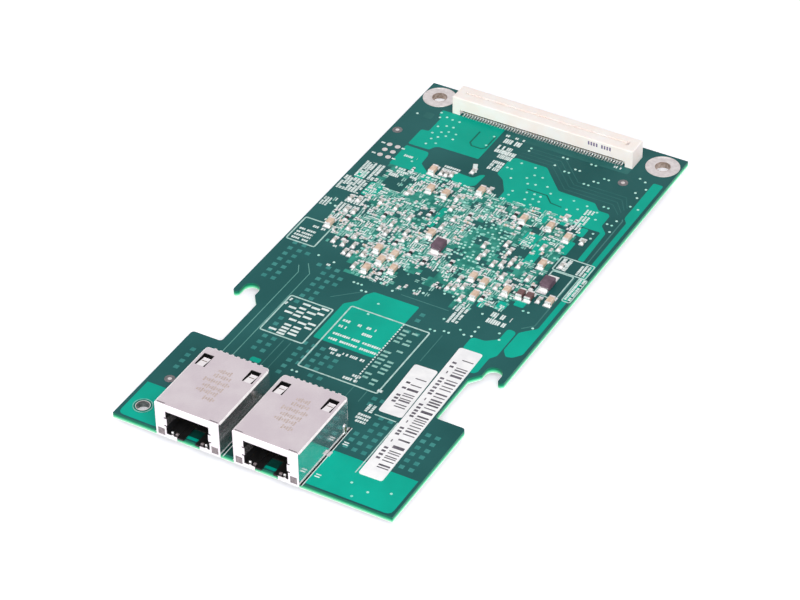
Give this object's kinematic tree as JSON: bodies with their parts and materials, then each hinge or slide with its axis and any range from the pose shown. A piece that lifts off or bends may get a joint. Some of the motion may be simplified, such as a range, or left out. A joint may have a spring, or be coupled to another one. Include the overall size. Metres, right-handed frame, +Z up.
{
  "type": "mezzanine network card",
  "caption": "Long green mezzanine circuit card with plug jacks at the front edge, a board-to-board connector at the rear, hooked side notches and surface-mounted chips.",
  "frame": {"origin": "middle of the card's footprint, at the level of the feet and underside package it rests on", "axes": "+X to the right seen from the jacks, +Y from the jacks to the rear connector, +Z up"},
  "size_m": [0.0766, 0.158, 0.0134],
  "materials": {
    "green_board": "glossy solder resist on glass-epoxy laminate",
    "tinned_copper": "tinned, satin",
    "plated_shell": "tin-plated folded sheet",
    "black_moulding": "fine moulded",
    "gold_plating": "gold flash",
    "light_window": "frosted",
    "potting": "cast",
    "cream_moulding": "fine moulded",
    "label_paper": "coated",
    "tan_ceramic": "fired, satin",
    "brown_ceramic": "fired, satin",
    "grey_ceramic": "fired, satin",
    "black_glaze": "glazed",
    "dark_moulding": "fine moulded",
    "chip_terminal": "tinned, soldered",
    "package_moulding": "fine moulded",
    "crystal_can": "drawn can"
  },
  "bodies": {
    "root": {"boot_memory": "package_moulding", "boot_memory_leads": "tinned_copper", "brown_capacitor_bodies": "brown_ceramic", "brown_capacitor_terminals": "chip_terminal", "chip_resistor_bodies": "black_glaze", "chip_resistor_terminals": "chip_terminal", "circuit_board": "green_board", "clock_crystal": "crystal_can", "controller_solder_balls": "tinned_copper", "large_capacitor_bodies": "tan_ceramic", "large_capacitor_terminals": "chip_terminal", "left_jack_contacts": "gold_plating", "left_jack_housing": "black_moulding", "left_jack_light_guides": "light_window", "left_jack_magnetics": "potting", "left_jack_pins": "tinned_copper", "left_jack_shield": "plated_shell", "long_label": "label_paper", "mezzanine_front_contacts": "tinned_copper", "mezzanine_housing": "cream_moulding", "mezzanine_rear_contacts": "tinned_copper", "moulded_capacitor_bodies": "dark_moulding", "moulded_capacitor_terminals": "chip_terminal", "mounting_lands": "tinned_copper", "network_controller": "package_moulding", "right_jack_contacts": "gold_plating", "right_jack_housing": "black_moulding", "right_jack_light_guides": "light_window", "right_jack_magnetics": "potting", "right_jack_pins": "tinned_copper", "right_jack_shield": "plated_shell", "short_label": "label_paper", "small_capacitor_bodies": "grey_ceramic", "small_capacitor_terminals": "chip_terminal"}
  },
  "joints": []
}
